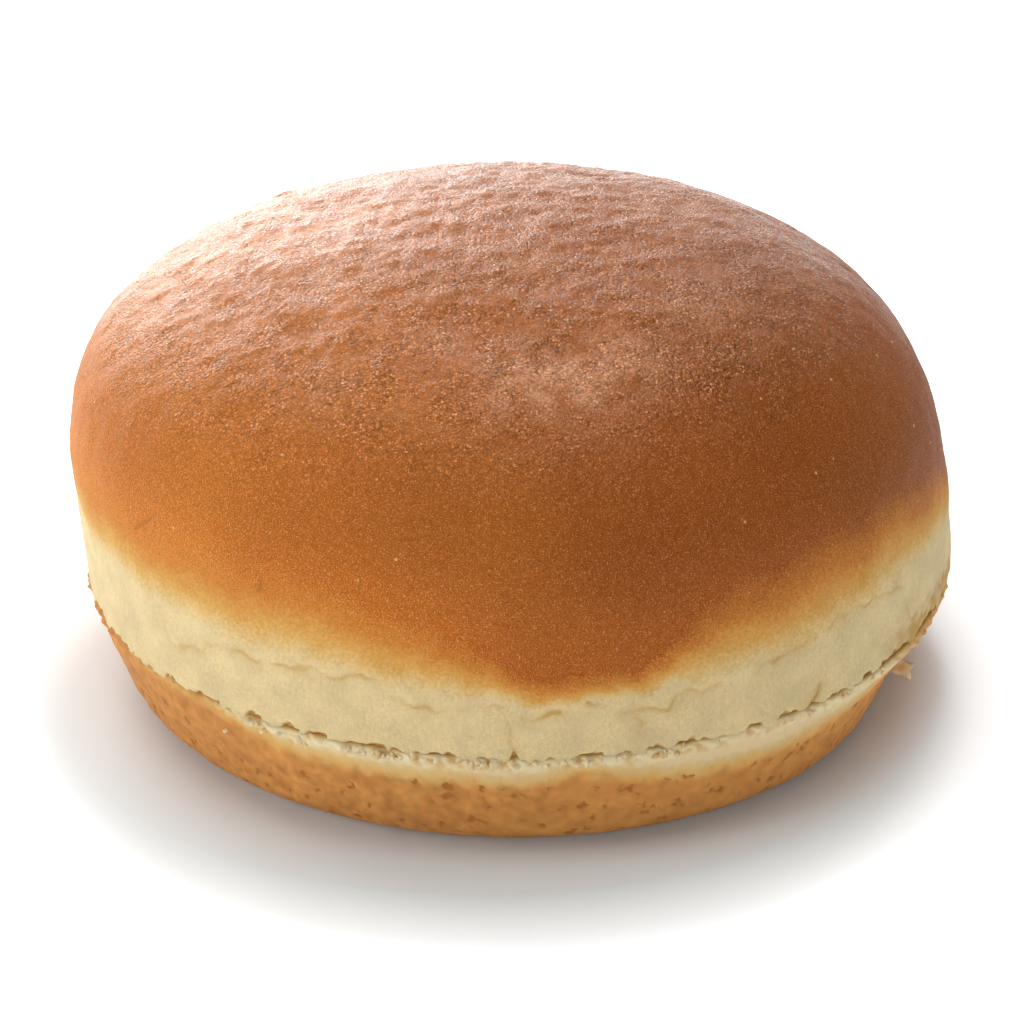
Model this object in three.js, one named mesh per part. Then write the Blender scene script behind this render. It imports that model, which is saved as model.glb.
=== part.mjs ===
// A sliced brioche burger bun: the domed crown with its pale side, lying on the heel that it was cut from.
// Millimetres, +Z up. The bun stands on its flat base at z = 0, and the origin is the middle of that base.
import * as THREE from "three";
import { mergeVertices } from "three/addons/utils/BufferGeometryUtils.js";

// Driving sizes of the whole bun
const BUN_HEIGHT = 52.4;
const SLICE_RADIUS = 49; // half the width of the heel where the knife went through
const SLICE_HEIGHT = 12.5; // top of the heel
const SLICE_GAP = 0.4; // air left between heel and crown

// Crown, measured up from its cut face
const CROWN_HEIGHT = BUN_HEIGHT - SLICE_HEIGHT - SLICE_GAP;
const CROWN_RADIUS = 49.4; // at the cut face, a little wider than the heel
const SHOULDER_RADIUS = 49.2; // where the pale side turns into the dome
const SHOULDER_HEIGHT = 11.6;
const DOME_FULLNESS = 2.52; // exponent of the dome's curve: 2 is an ellipse, more is boxier
const CROWN_OVAL = 0.012; // the crown's top is wider from left to right by this share
const LEAN = -1.9; // sideways shift of the crown's top
const SWAY = -0.55; // further shift of its middle
const SWELL = { height: 0.25, lengthX: 56, lengthY: 70, phase: 1 }; // slow lumps of the crust

// Fold in the pale side, where the risen crust hangs over the dough below it
const FOLD_HEIGHT = 6.4;
const FOLD_HALF_WIDTH = 0.7;
const FOLD_DEPTH = 0.6;
const FOLD_OVERHANG = 0.3;
const FOLD_WANDER = [
  // amplitude, waves round the bun, phase
  { size: 1.0, waves: 2, phase: 0.1 },
  { size: 0.5, waves: 7, phase: 0.6 },
  { size: 0.45, waves: 12, phase: 2.2 },
];
const FOLD_BREAKS = [
  { size: 0.55, waves: 2, phase: Math.PI },
  { size: 0.25, waves: 9, phase: 1.2 },
];

// Dents in the top of the crust, by azimuth, distance from the middle, half-width and depth
const DENTS = [
  { azimuth: -95, out: 23, width: 6, depth: 0.55 },
  { azimuth: -74, out: 27, width: 5, depth: 0.6 },
  { azimuth: -150, out: 33, width: 7, depth: 0.4 },
  { azimuth: 165, out: 20, width: 8, depth: 0.45 },
  { azimuth: -40, out: 16, width: 7, depth: 0.35 },
  { azimuth: 70, out: 25, width: 8, depth: 0.45 },
  { azimuth: 15, out: 34, width: 7, depth: 0.35 },
  { azimuth: 120, out: 38, width: 6, depth: 0.35 },
];

// Heel
const BASE_RADIUS = 42; // flat that the bun stands on
const FOOT_RADIUS = 5; // rounding between base and wall
const HEEL_OVAL = -0.8; // the foot is narrower from left to right than from front to back
const HEEL_WAVES = [
  { size: 0.25, waves: 3, phase: 0.8 },
  { size: 0.15, waves: 5, phase: 2.1 },
];

// Torn edges that the knife left on both halves
const EDGE_ROUNDING = 0.5;
const TEAR_DEPTH = 0.8;
const TEAR_SHARE = 0.45; // share of the edge that is torn
const TEAR_SETBACK = 0.5; // how far a tear goes inwards for its height
const TEAR_SEED = 7;

// Fineness of the surfaces
const SEGMENTS = 108;
const DOME_ROWS = 22;

const radians = THREE.MathUtils.degToRad;
const CRUST_COLOUR = 0x9a5427;
const BASE_COLOUR = 0xb9783d;

// Sum of a few waves round the bun
function wander(azimuth, waves) {
  return waves.reduce(
    (sum, wave) => sum + wave.size * Math.cos(wave.waves * azimuth + wave.phase),
    0,
  );
}

// Even steps from one value to another, both ends included
function steps(from, to, count) {
  return Array.from({ length: count + 1 }, (_, i) => from + ((to - from) * i) / count);
}

// One tear depth for each segment of a cut edge, the same on every run
function tears(seed) {
  let state = seed;
  const random = () => {
    state = (state * 16807) % 2147483647;
    return state / 2147483647;
  };
  random();
  return Array.from({ length: SEGMENTS }, () =>
    random() < TEAR_SHARE ? TEAR_DEPTH * random() : 0,
  );
}

// How strongly the fold shows: deep at front and back, faint at the sides
function foldStrength(azimuth) {
  return THREE.MathUtils.clamp(0.55 + wander(azimuth, FOLD_BREAKS), 0, 1);
}

// Revolves rows of { out, up } about +Z into a closed surface, then lets place() move each of its points.
// Rows start and end on the axis, and run so that the outside is on their right.
function revolve(rows, place) {
  const profile = rows.map((row) => new THREE.Vector2(row.out, row.up));
  const geometry = new THREE.LatheGeometry(profile, SEGMENTS).rotateX(Math.PI / 2);
  const position = geometry.getAttribute("position");
  const point = new THREE.Vector3();
  for (let i = 0; i < position.count; i++) {
    const segment = Math.floor(i / rows.length) % SEGMENTS;
    const row = rows[i % rows.length];
    const azimuth = (segment / SEGMENTS) * 2 * Math.PI;
    point.set(row.out * Math.cos(azimuth), row.out * Math.sin(azimuth), row.up);
    place(point, row, azimuth, segment);
    position.setXYZ(i, point.x, point.y, point.z);
  }
  return closed(geometry);
}

// Welds the seam and the poles of a revolved surface, and drops the triangles that the weld flattened
function closed(geometry) {
  geometry.deleteAttribute("normal");
  geometry.deleteAttribute("uv");
  const welded = mergeVertices(geometry);
  const corners = welded.getIndex().array;
  const kept = [];
  for (let i = 0; i < corners.length; i += 3) {
    const [a, b, c] = corners.slice(i, i + 3);
    if (a !== b && b !== c && c !== a) kept.push(a, b, c);
  }
  welded.setIndex(kept);
  welded.computeVertexNormals();
  return welded;
}

// Moves a point outwards from the bun's axis
function push(point, azimuth, distance) {
  point.x += distance * Math.cos(azimuth);
  point.y += distance * Math.sin(azimuth);
}

// Rows of the crown: cut face, torn edge, pale side with its fold, then the dome
function crownRows() {
  const cutFace = [0, 0.45, 0.8, 0.95].map((share) => ({ out: share * CROWN_RADIUS, up: 0 }));
  const edge = [{ out: CROWN_RADIUS - EDGE_ROUNDING, up: 0, torn: 1 }];
  const sideHeights = [
    ...steps(EDGE_ROUNDING, FOLD_HEIGHT - FOLD_HALF_WIDTH, 4),
    FOLD_HEIGHT,
    ...steps(FOLD_HEIGHT + FOLD_HALF_WIDTH, SHOULDER_HEIGHT, 4),
  ];
  const side = sideHeights.map((up, i) => {
    const rise = Math.sin((Math.PI / 2) * (up / SHOULDER_HEIGHT));
    return {
      out: THREE.MathUtils.lerp(CROWN_RADIUS, SHOULDER_RADIUS, rise),
      up,
      torn: i === 0 ? 0.6 : 0,
      fold: up === FOLD_HEIGHT ? -FOLD_DEPTH : 0,
      overhang: up > FOLD_HEIGHT ? FOLD_OVERHANG * (1 - (up - FOLD_HEIGHT) / SHOULDER_HEIGHT) : 0,
    };
  });
  const dome = steps(0, Math.PI / 2, DOME_ROWS)
    .slice(1)
    .map((angle, i, angles) => ({
      out: i === angles.length - 1 ? 0 : SHOULDER_RADIUS * Math.cos(angle) ** (2 / DOME_FULLNESS),
      up: SHOULDER_HEIGHT + (CROWN_HEIGHT - SHOULDER_HEIGHT) * Math.sin(angle) ** (2 / DOME_FULLNESS),
    }));
  return [...cutFace, ...edge, ...side, ...dome];
}

// Depth of the dents at a point of the dome
function dentDepth(point) {
  return DENTS.reduce((sum, dent) => {
    const azimuth = radians(dent.azimuth);
    const away = Math.hypot(
      point.x - dent.out * Math.cos(azimuth),
      point.y - dent.out * Math.sin(azimuth),
    );
    return sum + dent.depth * Math.exp(-((away / dent.width) ** 2));
  }, 0);
}

// Height of the slow swells at a point of the dome
function swell(point) {
  const alongX = Math.cos((2 * Math.PI * point.x) / SWELL.lengthX + SWELL.phase);
  const alongY = Math.cos((2 * Math.PI * point.y) / SWELL.lengthY);
  return SWELL.height * alongX * alongY;
}

// Moves a point of a cut edge inwards, and up or down into its own half
function tear(point, azimuth, depth, direction) {
  push(point, azimuth, -TEAR_SETBACK * depth);
  point.z += direction * depth;
}

function crownGeometry() {
  const edgeTears = tears(TEAR_SEED);
  return revolve(crownRows(), (point, row, azimuth, segment) => {
    const height = row.up / CROWN_HEIGHT;
    const side = Math.sin(Math.PI * THREE.MathUtils.clamp(row.up / SHOULDER_HEIGHT, 0, 1));
    const onDome = THREE.MathUtils.smoothstep(row.up, SHOULDER_HEIGHT, CROWN_HEIGHT);
    push(point, azimuth, row.out * CROWN_OVAL * Math.sqrt(height) * Math.cos(2 * azimuth));
    push(point, azimuth, ((row.fold ?? 0) + (row.overhang ?? 0)) * foldStrength(azimuth));
    tear(point, azimuth, (row.torn ?? 0) * edgeTears[segment], 1);
    point.z += side * wander(azimuth, FOLD_WANDER);
    point.z += onDome * (swell(point) - dentDepth(point));
    point.x += LEAN * height + SWAY * Math.sin(Math.PI * height);
  });
}

// Rows of the heel: flat base, rounded foot, flared wall, torn edge and cut face
function heelRows() {
  const base = [0, 0.5].map((share) => ({ out: share * BASE_RADIUS, up: 0, oval: share }));
  const foot = steps(-Math.PI / 2, 0, 5).map((angle) => ({
    out: BASE_RADIUS + FOOT_RADIUS * Math.cos(angle),
    up: FOOT_RADIUS * (1 + Math.sin(angle)),
    oval: 1,
    wavy: 1 + Math.sin(angle),
  }));
  const wallFoot = foot.at(-1);
  const wall = steps(0, 1, 4)
    .slice(1)
    .map((share) => ({
      out: THREE.MathUtils.lerp(wallFoot.out, SLICE_RADIUS, Math.sin((Math.PI / 2) * share)),
      up: THREE.MathUtils.lerp(wallFoot.up, SLICE_HEIGHT - EDGE_ROUNDING, share),
      oval: 1 - share,
      wavy: 1 - share,
      torn: share === 1 ? 0.6 : 0,
    }));
  const edge = [{ out: SLICE_RADIUS - EDGE_ROUNDING, up: SLICE_HEIGHT, torn: 1 }];
  const cutFace = [0.95, 0.8, 0.45, 0].map((share) => ({
    out: share * SLICE_RADIUS,
    up: SLICE_HEIGHT,
  }));
  return [...base, ...foot, ...wall, ...edge, ...cutFace];
}

function heelGeometry() {
  const edgeTears = tears(TEAR_SEED + 1);
  return revolve(heelRows(), (point, row, azimuth, segment) => {
    push(point, azimuth, (row.oval ?? 0) * HEEL_OVAL * Math.cos(2 * azimuth));
    push(point, azimuth, (row.wavy ?? 0) * wander(azimuth, HEEL_WAVES));
    tear(point, azimuth, (row.torn ?? 0) * edgeTears[segment], -1);
  });
}

function piece(name, geometry, colour, roughness) {
  const material = new THREE.MeshStandardMaterial({ color: colour, roughness, metalness: 0 });
  const mesh = new THREE.Mesh(geometry, material);
  mesh.name = name;
  return mesh;
}

const heel = piece("heel", heelGeometry(), BASE_COLOUR, 0.75);
const crown = piece("crown", crownGeometry(), CRUST_COLOUR, 0.5);
crown.position.z = SLICE_HEIGHT + SLICE_GAP;

const bun = new THREE.Group();
bun.add(heel, crown);

// The leaning crown reaches further to one side, so the origin is set under the middle of the whole
const middle = new THREE.Box3().setFromObject(bun, true).getCenter(new THREE.Vector3());
bun.position.set(-middle.x, -middle.y, 0);

export default bun;
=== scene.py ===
import math
import random

import bpy
import numpy as np
from mathutils import Matrix, Vector, noise


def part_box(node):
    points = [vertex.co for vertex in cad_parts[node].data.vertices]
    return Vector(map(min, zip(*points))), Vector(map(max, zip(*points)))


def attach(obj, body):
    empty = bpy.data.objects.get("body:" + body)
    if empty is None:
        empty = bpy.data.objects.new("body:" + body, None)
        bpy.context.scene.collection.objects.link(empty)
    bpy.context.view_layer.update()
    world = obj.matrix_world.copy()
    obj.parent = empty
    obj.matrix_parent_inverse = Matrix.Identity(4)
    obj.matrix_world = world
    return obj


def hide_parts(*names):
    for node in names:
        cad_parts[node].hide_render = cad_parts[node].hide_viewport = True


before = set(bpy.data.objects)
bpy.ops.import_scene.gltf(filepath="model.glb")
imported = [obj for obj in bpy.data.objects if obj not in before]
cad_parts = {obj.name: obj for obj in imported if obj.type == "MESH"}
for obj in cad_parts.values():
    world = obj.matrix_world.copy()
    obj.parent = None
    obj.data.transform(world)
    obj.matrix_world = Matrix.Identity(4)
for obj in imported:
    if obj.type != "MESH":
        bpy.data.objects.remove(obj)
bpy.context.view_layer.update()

mm = 0.001
heelLow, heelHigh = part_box("heel")
bunAxis = Vector(((heelLow.x + heelHigh.x) / 2, (heelLow.y + heelHigh.y) / 2, 0))
cutHeight = heelHigh.z / mm  # all heights below are mm above the table


# working helpers

def pickOnly(obj):
    bpy.ops.object.select_all(action="DESELECT")
    obj.select_set(True)
    bpy.context.view_layer.objects.active = obj


def addAndApply(obj, kind, **settings):
    modifier = obj.modifiers.new(kind.lower(), kind)
    for name, value in settings.items():
        setattr(modifier, name, value)
    pickOnly(obj)
    bpy.ops.object.modifier_apply(modifier=modifier.name)


def readPoints(obj):
    flat = np.empty(len(obj.data.vertices) * 3)
    obj.data.vertices.foreach_get("co", flat)
    return (flat.reshape(-1, 3) - bunAxis) / mm


def writePoints(obj, points):
    obj.data.vertices.foreach_set("co", (points * mm + bunAxis).ravel())
    obj.data.update()


def readNormals(obj):
    flat = np.empty(len(obj.data.vertices) * 3)
    obj.data.vertices.foreach_get("normal", flat)
    return flat.reshape(-1, 3)


def azimuthOf(points):
    return np.degrees(np.arctan2(points[:, 1], points[:, 0]))  # 0 right, -90 front, 180 left


def radiusOf(points):
    return np.hypot(points[:, 0], points[:, 1])


def onRing(azimuth, radius, height):
    a = math.radians(azimuth)
    return np.array((radius * math.cos(a), radius * math.sin(a), height))


def outwards(points):
    flat = points * (1, 1, 0)
    return flat / np.maximum(np.linalg.norm(flat, axis=1, keepdims=True), 1e-9)


def fade(low, high, values):
    t = np.clip((values - low) / (high - low), 0, 1)
    return t * t * (3 - 2 * t)


def grain(points, size, seed=0):  # soft noise from -1 to 1, its lumps about size mm across
    shift = Vector((seed * 7.3, seed * 3.1, seed * 5.7))
    return np.array([noise.noise(Vector(p) / size + shift) for p in points])


def paintGroup(obj, name, weights):
    group = obj.vertex_groups.new(name=name)
    steps = np.round(np.clip(weights, 0, 1) * 40).astype(int)
    for step in range(1, 41):
        group.add(np.flatnonzero(steps == step).tolist(), step / 40, "REPLACE")


def paintAttribute(obj, name, values):
    layer = obj.data.attributes.new(name, "FLOAT", "POINT")
    layer.data.foreach_set("value", np.ascontiguousarray(values, dtype=np.float32))


def selectVertices(obj, chosen):
    bpy.ops.object.mode_set(mode="OBJECT")
    bpy.context.tool_settings.mesh_select_mode = (True, False, False)
    obj.data.polygons.foreach_set("select", np.zeros(len(obj.data.polygons), bool))
    obj.data.edges.foreach_set("select", np.zeros(len(obj.data.edges), bool))
    obj.data.vertices.foreach_set("select", chosen)
    bpy.ops.object.mode_set(mode="EDIT")


def selectFaces(obj, test):
    bpy.ops.object.mode_set(mode="OBJECT")
    bpy.context.tool_settings.mesh_select_mode = (False, False, True)
    flat = np.empty(len(obj.data.polygons) * 3)
    obj.data.polygons.foreach_get("center", flat)
    chosen = test((flat.reshape(-1, 3) - bunAxis) / mm)
    obj.data.vertices.foreach_set("select", np.zeros(len(obj.data.vertices), bool))
    obj.data.edges.foreach_set("select", np.zeros(len(obj.data.edges), bool))
    obj.data.polygons.foreach_set("select", chosen)
    bpy.ops.object.mode_set(mode="EDIT")


def splitFaces(obj, test, cuts=1):
    selectFaces(obj, test)
    bpy.ops.mesh.subdivide(number_cuts=cuts)
    bpy.ops.object.mode_set(mode="OBJECT")


def selectOpenEdge():
    bpy.ops.mesh.select_mode(type="EDGE")
    bpy.ops.mesh.select_all(action="DESELECT")
    bpy.ops.mesh.select_non_manifold(
        extend=False, use_wire=False, use_boundary=True, use_multi_face=False,
        use_non_contiguous=False, use_verts=False)


def startRing(name, sides, ring):  # a ring is (radius, height) in mm
    bpy.ops.object.select_all(action="DESELECT")
    place = bunAxis + Vector((0, 0, ring[1] * mm))
    bpy.ops.mesh.primitive_circle_add(vertices=sides, radius=ring[0] * mm, location=place)
    obj = bpy.context.object
    obj.name = obj.data.name = name
    bpy.ops.object.transform_apply(location=True, rotation=True, scale=True)
    bpy.ops.object.mode_set(mode="EDIT")
    bpy.ops.mesh.select_all(action="SELECT")
    return obj


def pullRing(last, ring):
    bpy.ops.mesh.extrude_edges_move(
        TRANSFORM_OT_translate={"value": (0, 0, (ring[1] - last[1]) * mm)})
    grow = ring[0] / last[0]
    middle = bunAxis + Vector((0, 0, ring[1] * mm))
    bpy.ops.transform.resize(value=(grow, grow, 1), center_override=middle)


def pullRings(rings):
    for last, ring in zip(rings, rings[1:]):
        pullRing(last, ring)


def closeCut(obj, radius, height, steps):
    # the open edge is drawn inwards in steps of mm in and mm up, and the cut face is closed behind it
    bpy.ops.object.mode_set(mode="EDIT")
    selectOpenEdge()
    pullRings([(radius, height)] + [(radius - inward, height + up) for inward, up in steps])
    bpy.ops.mesh.edge_face_add()
    bpy.ops.mesh.poke()
    bpy.ops.mesh.select_all(action="SELECT")
    bpy.ops.mesh.normals_make_consistent(inside=False)
    bpy.ops.object.mode_set(mode="OBJECT")


def seatLine(points, line):  # (azimuth, radius, height) points, laid on the nearest points of a net
    return [points[np.argmin(np.linalg.norm(points - onRing(*spot), axis=1))] for spot in line]


def lineDistance(points, line):
    nearest = np.full(len(points), 1e9)
    for start, end in zip(line, line[1:]):
        step = end - start
        t = np.clip((points - start) @ step / max(step @ step, 1e-9), 0, 1)
        nearest = np.minimum(nearest, np.linalg.norm(points - start - t[:, None] * step, axis=1))
    return nearest


def unroll(points, radius):  # the side laid flat: mm along it and mm up
    return np.stack([np.radians(azimuthOf(points)) * radius, points[:, 2], np.zeros(len(points))], axis=1)


def ripple(obj, name, size, depth, group="", octaves=2):
    clouds = bpy.data.textures.new(name, type="CLOUDS")
    clouds.noise_basis = "IMPROVED_PERLIN"
    clouds.noise_scale = size * mm
    clouds.noise_depth = octaves
    addAndApply(obj, "DISPLACE", texture=clouds, texture_coords="LOCAL", strength=depth * mm,
                mid_level=0.5, vertex_group=group)


# crown: the domed top half, from the cut up

crownShape = {
    "sides": 152,
    "cutRadius": 49.4, "shoulderRadius": 49.2, "shoulderHeight": 24.5, "top": 52.4,
    "fullness": 2.5,
    "sideRings": 6, "domeRings": 14,
    "capRadius": 33,   # the top inside this is a square grid
    "finer": 2,        # subdivision levels
    "rimBand": 2.6,    # mm above the cut that is split once more
    "rimLift": -0.12,  # the torn rim is pressed a little into the heel
    "cutSteps": [(0.35, -0.1), (1.4, 0.05), (4, 0.1)],
}
rimHeight = cutHeight + crownShape["rimLift"]

crustEdge = {  # where the browning ends: azimuth, height, length of the fade
    "line": [
        (-180, 25.2, 5.0), (-145, 24.8, 5.0), (-118, 24.6, 5.5), (-97, 21.5, 3.6), (-86, 19.9, 1.6),
        (-75, 20.0, 1.7), (-66, 22.5, 4.4), (-60, 23.0, 5.6), (-45, 23.6, 6.5), (-30, 24.6, 5.2),
        (-15, 22.8, 4.6), (-4, 20.8, 4.0), (25, 23.6, 5.0), (60, 23.2, 4.5), (92, 21.0, 3.5),
        (115, 22.6, 5.0), (150, 24.6, 5.5), (180, 25.2, 5.0),
    ],
    "lobes": 1.3, "wobble": 0.8,
    "deepening": 13,  # mm above the edge where the brown is deepest
    "ledge": 0.16, "underLedge": 0.10,  # how far the crust stands out over the pale side
}

crustRelief = {  # lumps across and their depth, in mm
    "swells": (8, 0.7), "wrinkles": (2.6, 0.36), "pebbles": (1.3, 0.24), "skin": (4, 0.4),
    "smoothFront": 0.1,  # share of it that reaches the smooth lower part
    "across": [(-40, 0.68), (-20, 0.8), (0, 1), (10, 1), (28, 0.35)],  # and the top, from left to right
    "foot": 42.5, "footTilt": 4, "footTurn": 50, "footWobble": 2.5,  # the height where it dies away
    "footBelow": 8, "footAbove": 4,
}

# soft hollows, and swellings where the depth is negative: azimuth, radius, height, reach, depth
dimples = [
    (-92.5, 23.2, 50.3, 2.2, 0.25), (-76, 25.5, 49.8, 3.0, 0.30), (-98, 29.5, 48.7, 2.6, -0.16),
    (-88, 31.5, 48.0, 2.4, -0.18), (-69, 31.5, 48.0, 3.2, -0.22), (-110, 21, 50.7, 2.6, 0.18),
    (-105, 39.5, 44.0, 2.4, -0.14), (-118, 38.5, 44.6, 3.0, -0.14), (-138, 29, 48.8, 3.0, 0.16),
    (-60, 26, 49.7, 3.4, 0.18), (-125, 33, 47.4, 2.6, -0.14), (150, 22, 50.5, 4.0, 0.20),
    (20, 20, 50.8, 4.5, 0.18), (70, 30, 48.5, 4.0, 0.22), (110, 26, 49.6, 3.5, 0.18),
    (172, 45.5, 36.5, 13, -0.65), (10, 47, 33, 9, 0.4), (-3, 49.4, 16.5, 9, -0.6),
]

paintedSheenSpots = [  # painted sheen: paler patches standing in for highlights on the crust: azimuth, radius, height, reach, strength
    (-79, 31.2, 48.2, 5.5, 1.0), (-90, 31.8, 48.0, 4.4, 1.0), (-66, 30.3, 48.5, 4.0, 0.9),
    (-68.5, 26.5, 49.6, 3, 0.6), (-123, 35.5, 46.4, 4, 0.35), (-108.5, 25.3, 49.9, 4, 0.4),
    (-126, 37.3, 45.4, 3, 0.4), (-156, 35.5, 46.3, 5, 0.4), (-34, 25.3, 49.9, 7, 0.32),
    (-8, 32.7, 47.6, 6, 0.3), (-22, 35, 46.5, 7, 0.2), (30, 22, 50.6, 8, 0.35), (84, 15.6, 51.5, 8, 0.35),
    (60, 32, 48, 6, 0.5), (150, 33, 47.5, 5, 0.4), (110, 36, 46, 6, 0.5),
]

creases = [  # folds in the pale side: depth, roll of dough above, and the line by azimuth and height
    (0.13, 0.08, [(-139.5, 19.8), (-139, 17.8), (-135, 17.9), (-131, 19.6), (-128.5, 20.7)]),
    (0.17, 0.24, [(-128.5, 20.8), (-125, 20.1), (-122, 20.1), (-117, 20.7), (-113.5, 20), (-109, 21.1),
                  (-106.5, 20.2), (-104, 18.6)]),
    (0.16, 0.20, [(-106.5, 20.2), (-104, 18.4), (-100.5, 18), (-96.5, 18.6), (-92, 18.8)]),
    (0.18, 0.14, [(-89, 17.4), (-87, 17.6), (-85, 18.4)]),
    (0.19, 0.20, [(-81.5, 18.6), (-80, 19), (-78, 18.2), (-73, 17.2), (-70.5, 17), (-69.6, 18.4),
                  (-64, 19)]),
    (0.16, 0.14, [(-59, 19.2), (-55.5, 20), (-51, 20.7)]),
    (0.13, 0.10, [(-47, 21.2), (-41, 21.8), (-35, 21.2), (-31, 20.2)]),
    (0.10, 0.00, [(-29.5, 17.6), (-29, 16.2)]),
    (0.09, 0.00, [(-91.5, 18.6), (-91, 16.4), (-90.4, 13)]),
    (0.26, 0.00, [(-48.5, 14.8), (-51, 12.6)]),
    (0.15, 0.00, [(-75.5, 17.2), (-75.2, 15.6)]),
]
creaseLook = {
    "width": 0.24,
    "wander": 0.8,              # mm that a fold strays from its line
    "farSideTurn": 176,         # the far side is folded like the near one
    "sunk": 0.5, "risen": 0.7,  # shares of the depth and of the roll
    "rollAway": 1.4, "rollReach": 1.2,
    "ochre": 0.85, "wideTintAndShade": 0.25, "fullDepth": 0.18,  # full ochre, partly painted shade, in a fold this deep
}

crustMarks = [  # cracks and slits: depth, width, raised edge, and the line by azimuth, radius and height
    (0.16, 0.22, 0.16, [(-78.5, 24.5, 50.1), (-76.5, 25.1, 50), (-75, 26.1, 49.7), (-74, 27.3, 49.4)]),
    (0.10, 0.18, 0.02, [(-149, 28.9, 48.9), (-148.5, 29.9, 48.6), (-147, 30.5, 48.4), (-144, 31, 48.3),
                        (-140, 31.4, 48.1), (-137, 31.4, 48.1), (-134.5, 31, 48.3)]),
    (0.18, 0.20, 0.02, [(-82, 46.4, 36.8), (-81.9, 46.8, 36), (-81.5, 47.2, 35)]),
    (0.12, 0.18, 0.00, [(-80, 48.6, 30.4), (-79.6, 48.7, 29.8)]),
    (0.06, 0.16, 0.00, [(-81, 44.8, 39.1), (-77.5, 44.8, 39.1), (-74.5, 44.6, 39.4)]),
    (0.12, 0.22, 0.03, [(-123, 48.7, 29.7), (-123, 48.8, 28.6)]),
    (0.06, 0.18, 0.02, [(-141, 48.2, 32), (-143, 48.5, 30.7), (-145, 48.8, 29.1)]),
    (0.05, 0.30, 0.24, [(138, 37.2, 45.5), (136.5, 36.4, 45.9)]),
]

seamHoles = {  # torn gaps in the crown's lower edge
    "depth": 0.45, "ragged": 0.6, "taller": 1.35,
    "softEdge": 0.3, "raggedBand": 1.2, "raggedUp": 0.12, "raggedOut": 0.2,
    "browned": (-38, -27, 6, 18),  # azimuths at the right: from, full from, full to, to
    "brownedHeight": (2.0, 3.8),   # full up to, none from
    "seen": [  # azimuth from, azimuth to, height
        (-141, -138.5, 0.4), (-136, -130, 0.45), (-126, -122.5, 0.55), (-120.5, -118, 0.75),
        (-117, -114, 0.6), (-113, -104.5, 0.5), (-102.5, -97, 0.45), (-95, -92, 0.4), (-90.8, -89.7, 0.7),
        (-83, -79.5, 0.45), (-78, -76.5, 0.3), (-74, -71, 0.35), (-70.5, -66, 0.55), (-60.5, -58, 0.35),
        (-56.5, -52, 0.5), (-51, -43, 0.4), (-41, -38.5, 0.7), (-37, -28.5, 0.75), (-27, -17.5, 0.9),
        (-16.5, -13, 0.6), (-11, -6, 0.7),
    ],
    "seed": 11,
}


def crustEdgeAt(azimuth):  # height and fade
    at, height, length = zip(*crustEdge["line"])
    return np.interp(azimuth, at, height), np.interp(azimuth, at, length)


def buildCrown():
    s = crownShape
    rings = [(s["cutRadius"], rimHeight)]
    for i in range(1, s["sideRings"] + 1):
        t = i / s["sideRings"]
        rings.append((s["cutRadius"] + t * (s["shoulderRadius"] - s["cutRadius"]),
                      rimHeight + t * (s["shoulderHeight"] - rimHeight)))
    power = 2 / s["fullness"]
    last = math.acos((s["capRadius"] / s["shoulderRadius"]) ** (1 / power))
    for i in range(1, s["domeRings"] + 1):
        a = last * i / s["domeRings"]
        rings.append((s["shoulderRadius"] * math.cos(a) ** power,
                      s["shoulderHeight"] + (s["top"] - s["shoulderHeight"]) * math.sin(a) ** power))
    obj = startRing("crownCrust", s["sides"], rings[0])
    pullRings(rings)
    bpy.ops.mesh.fill_grid(span=s["sides"] // 4)
    bpy.ops.object.mode_set(mode="OBJECT")

    # even out the corners of the cap, then lay the net on the solid and soften it
    selectVertices(obj, radiusOf(readPoints(obj)) < s["capRadius"] + 6)
    bpy.ops.mesh.vertices_smooth(factor=0.5, repeat=30)
    bpy.ops.object.mode_set(mode="OBJECT")
    aboveRim = readPoints(obj)[:, 2] > rimHeight + 0.1
    paintGroup(obj, "aboveRim", aboveRim)
    addAndApply(obj, "SHRINKWRAP", target=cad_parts["crown"], vertex_group="aboveRim")
    selectVertices(obj, aboveRim)
    bpy.ops.mesh.vertices_smooth(factor=0.5, repeat=4)
    bpy.ops.object.mode_set(mode="OBJECT")
    addAndApply(obj, "SUBSURF", levels=s["finer"], render_levels=s["finer"])
    return obj


def allCreases():  # with the lines as azimuth, radius and height
    found = []
    for turn in (0, creaseLook["farSideTurn"]):
        for depth, roll, line in creases:
            turned = [((a + turn + 180) % 360 - 180, crownShape["cutRadius"], z) for a, z in line]
            found.append((depth, roll, turned))
    return found


def allSeamHoles():
    draw = random.Random(seamHoles["seed"])
    holes = list(seamHoles["seen"])
    azimuth = -4
    while azimuth < 206:
        width = draw.uniform(1.5, 6)
        holes.append((azimuth, azimuth + width, draw.uniform(0.3, 0.8)))
        azimuth += width + draw.uniform(0.8, 4)
    return holes


def nearLines(centres):  # faces that are cut finer before folds and cracks are pressed in
    lines = [line for *_, line in allCreases() + crustMarks]
    return np.min([lineDistance(centres, seatLine(centres, line)) for line in lines], axis=0) < 0.7


def pressDimples(obj):
    points = readPoints(obj)
    normals = readNormals(obj)
    push = np.zeros(len(points))
    for azimuth, radius, height, reach, depth in dimples:
        away = np.linalg.norm(points - onRing(azimuth, radius, height), axis=1)
        push -= depth * np.exp(-(away / reach) ** 2)
    writePoints(obj, points + normals * push[:, None])


# how much painted sheen each point gets, in soft patches
def paintSheenSpots(points):
    share = np.zeros(len(points))
    patchy = np.clip(0.8 + 1.2 * grain(points, 2.4, seed=71), 0.2, 1.4)
    for azimuth, radius, height, reach, strength in paintedSheenSpots:
        away = np.linalg.norm(points - onRing(azimuth, radius, height), axis=1)
        share = np.maximum(share, strength * np.exp(-(away / reach) ** 2))
    return np.clip(share * patchy, 0, 1)


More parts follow.
